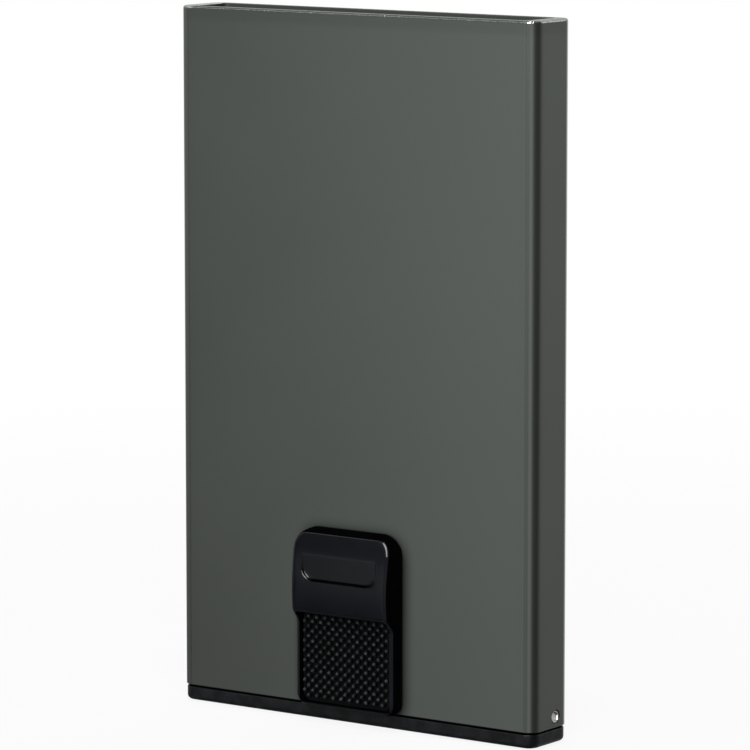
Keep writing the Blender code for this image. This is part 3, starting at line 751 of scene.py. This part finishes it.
def makePad():
    p = pad
    # The plate: a rounded outline carried forward, with a small round at the face
    along, across = quarterRound(p["round"], 3)
    halfHeight = (p["high"] - p["low"]) / 2
    middle = (p["high"] + p["low"]) / 2
    stations = [(0.0, p["back"])] + [(a, p["face"] - p["round"] + c) for a, c in zip(along, across)]
    rings = []
    for inset, height in stations:
        loop = roundedLoop(p["halfWidth"] - inset, halfHeight - inset, p["footRadius"] - inset, 8)
        rings.append(np.column_stack([
            loop[:, 0], np.full(len(loop), -(tubeFace + height)), loop[:, 1] + middle]))
    grids = [(np.stack(rings), False, True, True)]
    # The studs: every other row stands half a pitch aside. Each is a cone that runs into a round tip:
    # straight from the stud's radius to the tip's, then r = tip cos(t), rise = tip sin(t).
    rowCount = int((p["high"] - p["low"]) / p["pitchZ"]) + 2
    columnCount = int(2 * p["halfWidth"] / p["pitchX"]) + 3
    rowIndex, columnIndex = np.meshgrid(
        np.arange(rowCount), np.arange(columnCount) - columnCount // 2, indexing="ij")
    studX = (p["firstX"] + (columnIndex + 0.5 * (rowIndex % 2)) * p["pitchX"]).ravel()
    studZ = (p["firstZ"] + rowIndex * p["pitchZ"]).ravel()
    inside = insideDistance(studX, studZ, p["halfWidth"], p["low"], p["high"], p["footRadius"])
    studX, studZ = studX[inside > p["margin"]], studZ[inside > p["margin"]]
    angles = np.array(p["tipAngles"])
    radii = np.concatenate([[p["studRadius"]], p["studTip"] * np.cos(angles)])
    tipRises = p["studTop"] + p["studTip"] * (np.sin(angles) - 1)
    rises = np.concatenate([[p["face"] - p["studSunk"]], tipRises])
    turn = np.linspace(0, 2 * np.pi, p["studSides"], endpoint=False)
    for cx, cz in zip(studX, studZ):
        stud = np.stack([
            cx + radii[:, None] * np.cos(turn), -(tubeFace + rises[:, None]) * np.ones(len(turn)),
            cz + radii[:, None] * np.sin(turn)], axis=-1)
        grids.append((stud, False, True, True))
    piece = buildPiece("studdedPad", grids, p["sharpDegrees"])
    dress(piece, paintedStudMaterial, "slider", ["slider_grip_pad"])
    piece.visible_glossy = False
    print("studs:", len(studX))


makePad()
print("pad made")


# The pieces whose meshes come from the solids as they are, and their materials
kept = {
    "card_lifter": plasticMaterials["acetal"],
    "card_guide_strip_left": plasticMaterials["feltPile"],
    "card_guide_strip_right": plasticMaterials["feltPile"],
    "button_glide_left": plasticMaterials["feltPile"],
    "button_glide_right": plasticMaterials["feltPile"],
    "base_foot_left": plasticMaterials["footRubber"],
    "base_foot_right": plasticMaterials["footRubber"],
    "guide_spring_left": metalMaterials["rolledSteel"],
    "guide_spring_right": metalMaterials["rolledSteel"],
    "slider_screw_lower": metalMaterials["zincPlate"],
    "slider_screw_upper": metalMaterials["zincPlate"],
}
for nodeName, material in kept.items():
    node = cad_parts[nodeName]
    node.data.materials.clear()
    node.data.materials.append(material)
print("kept pieces dressed")


# Unit vector to where a thing stands as seen from the case: degrees to the right of straight in front,
# and degrees up
def towards(azimuth, elevation):
    azimuth, elevation = math.radians(azimuth), math.radians(elevation)
    level = math.cos(elevation)
    return Vector((math.sin(azimuth) * level, -math.cos(azimuth) * level, math.sin(elevation)))


# Stands a camera or a lamp at a place, turned against the direction that it stands in
def stand(thing, place, away):
    thing.location = place
    thing.rotation_mode = "QUATERNION"
    thing.rotation_quaternion = (-away).to_track_quat("-Z", "Y")


camera = {
    "azimuth": 35.4526, "pitch": 7.9039, "distance": 695.54, "target": (0.5695, 0.0, 50.105),
    "lens": 233.7, "sensor": 36.0, "clip": (0.01, 20.0),
}


def makeCamera():
    c = camera
    data = bpy.data.cameras.new("camera")
    data.lens = c["lens"]
    data.sensor_width = c["sensor"]
    data.clip_start, data.clip_end = c["clip"]
    eye = newObject("camera", data)
    away = towards(c["azimuth"], c["pitch"])
    stand(eye, Vector(c["target"]) * mm + away * c["distance"] * mm, away)
    bpy.context.scene.camera = eye


makeCamera()


studio = {
    # brightness of the studio round the case: (degrees to the right of straight in front, level)
    "around": [
        (-180, 1.9), (-168, 1.4), (-150, 1.15), (-120, 0.8), (-90, 0.66), (-65, 0.8), (-50, 0.8),
        (-45, 0.4), (-42, 0.25), (-38, 0.42), (-34, 1.24), (-28, 1.19), (-18, 0.69), (-5, 0.82),
        (10, 0.64), (20, 1.0), (30, 1.22), (40, 1.0), (50, 0.6), (62, 0.3), (78, 0.24), (94, 0.22),
        (108, 0.29), (124, 0.56), (150, 0.63), (162, 0.7), (172, 1.9), (180, 1.9),
    ],
    "rampTop": 2.0,  # a ramp holds up to 1, so the levels round the case go into it divided by this
    # brightness from below (-1) to overhead (1), by the height of the direction
    "upward": [
        (-1.0, 0.3), (-0.25, 0.66), (-0.2, 0.75), (-0.15, 0.85), (-0.1, 0.94), (0.0, 1.0), (0.08, 0.8),
        (0.14, 0.52), (0.22, 0.52), (0.32, 0.85), (0.6, 1.1), (1.0, 0.8),
    ],
    # a flag low on the left: from none to all of it by azimuth and by height, and the share it takes
    "flagAround": (-35.5, -38.0), "flagUpward": (-0.11, -0.16), "flagShare": 0.3,
    "floorTone": "f0f0f0",
    "floorWhite": 0.9,  # share of plain white near the case, where its shadow falls
    "shadowFrom": 0.09, "shadowTo": 0.4,  # metres from the case over which the floor turns all white
    "floorSize": 6.0, "floorDrop": 0.0002,
    "lampMiddle": (0, 0, 0.05),  # what the lamps face
}

# name: azimuth and height of the lamp as seen from the object, distance, size, watts
lamps = {
    "glintBox": {"azimuth": 6.0, "elevation": 37.0, "distance": 0.9, "size": (0.46, 0.76), "power": 23.0,
                 "onlyMirrored": True},  # gives the polished edges their arcs, and lights nothing else
    "edgeBar": {"azimuth": -46.0, "elevation": 38.0, "distance": 0.9, "size": (0.3, 0.14), "power": 0.4,
                "onlyMirrored": True},  # draws the thin lines along the upper edges
    "pinBox": {"azimuth": 145.0, "elevation": 22.0, "distance": 0.9, "size": (0.4, 0.36), "power": 1.1,
               "onlyMirrored": True},  # stands behind the case on the right, for the pin's leaning end
    "topSpot": {"azimuth": 35.0, "elevation": 74.0, "distance": 0.9, "size": (0.1, 0.1), "power": 2.0,
                "onlyMirrored": False},  # small and high: a little light from above
}


# Whether a ray comes from the lens or through a material, and whether it is a mirrored one
def lightPath(tree):
    path = addNode(tree, "ShaderNodeLightPath")
    lens = addMath(tree, "MAXIMUM", path.outputs["Is Camera Ray"], path.outputs["Is Transmission Ray"])
    return lens, path.outputs["Is Glossy Ray"]


def mixShaders(tree, factor, first, second):
    return addNode(tree, "ShaderNodeMixShader", {0: factor, 1: first.outputs[0], 2: second.outputs[0]})


# A pale floor that the lens sees as white but for the case's shadow. Mirrored rays pass it, so the case
# mirrors the studio down to its foot.
def makeFloor():
    s = studio
    half = s["floorSize"] / 2
    mesh = bpy.data.meshes.new("floor")
    corners = [(-half, -half, 0), (half, -half, 0), (half, half, 0), (-half, half, 0)]
    mesh.from_pydata(corners, [], [(0, 1, 2, 3)])
    floor = newObject("floor", mesh)
    floor.location = (0, 0, -s["floorDrop"])
    material, tree, output, place = newMaterial("paleFloor")
    lens, mirrored = lightPath(tree)
    plain = addNode(tree, "ShaderNodeBsdfDiffuse", {"Color": linearColor(s["floorTone"])})
    white = addNode(tree, "ShaderNodeEmission", {"Strength": 1.0})
    clear = addNode(tree, "ShaderNodeBsdfTransparent")
    reach = addNode(tree, "ShaderNodeVectorMath", {0: place}, operation="LENGTH")
    whiter = addRange(
        tree, reach.outputs["Value"], (s["shadowFrom"], s["shadowTo"]), (s["floorWhite"], 1.0),
        interpolation_type="SMOOTHSTEP")
    seen = mixShaders(tree, addMath(tree, "MULTIPLY", lens, whiter), plain, white)
    both = mixShaders(tree, mirrored, seen, clear)
    tree.links.new(both.outputs[0], output.inputs["Surface"])
    mesh.materials.append(material)


# The studio's soft light by direction, and plain white where the lens looks past the case
def makeWorld():
    s = studio
    world = bpy.data.worlds.new("studioWorld")
    bpy.context.scene.world = world
    world.use_nodes = True
    tree = world.node_tree
    tree.nodes.clear()
    output = addNode(tree, "ShaderNodeOutputWorld")
    lens = lightPath(tree)[0]
    direction = addNode(tree, "ShaderNodeTexCoord").outputs["Generated"]
    part = addNode(tree, "ShaderNodeSeparateXYZ", {0: direction})
    forward = addMath(tree, "MULTIPLY", part.outputs["Y"], -1.0)
    turn = addMath(tree, "ARCTAN2", part.outputs["X"], forward)
    aroundStops = [((a + 180) / 360, v / s["rampTop"]) for a, v in s["around"]]
    upwardStops = [((h + 1) / 2, v) for h, v in s["upward"]]
    around = addRamp(tree, addRange(tree, turn, (-math.pi, math.pi)), aroundStops)
    upward = addRamp(tree, addRange(tree, part.outputs["Z"], (-1.0, 1.0)), upwardStops)
    level = addMath(tree, "MULTIPLY", around, upward)
    # A flag low on the left takes part of the light there
    left = addRange(tree, turn, [math.radians(a) for a in s["flagAround"]])
    low = addRange(tree, part.outputs["Z"], s["flagUpward"], (0.0, s["flagShare"]))
    unflagged = addMath(tree, "SUBTRACT", 1.0, addMath(tree, "MULTIPLY", left, low))
    flagged = addMath(tree, "MULTIPLY", level, unflagged)
    scaled = addMath(tree, "MULTIPLY", flagged, s["rampTop"])
    soft = addNode(tree, "ShaderNodeBackground", {"Strength": scaled})
    white = addNode(tree, "ShaderNodeBackground", {"Color": (1, 1, 1, 1), "Strength": 1.0})
    both = mixShaders(tree, lens, soft, white)
    tree.links.new(both.outputs[0], output.inputs["Surface"])


def makeLamps():
    for name, lamp in lamps.items():
        data = bpy.data.lights.new(name, "AREA")
        data.shape = "RECTANGLE"
        data.size, data.size_y = lamp["size"]
        data.energy = lamp["power"]
        box = newObject(name, data)
        away = towards(lamp["azimuth"], lamp["elevation"])
        stand(box, Vector(studio["lampMiddle"]) + away * lamp["distance"], away)
        box.visible_diffuse = not lamp["onlyMirrored"]


makeFloor()
makeWorld()
makeLamps()
bpy.context.scene.view_settings.view_transform = "Standard"
print("studio made")
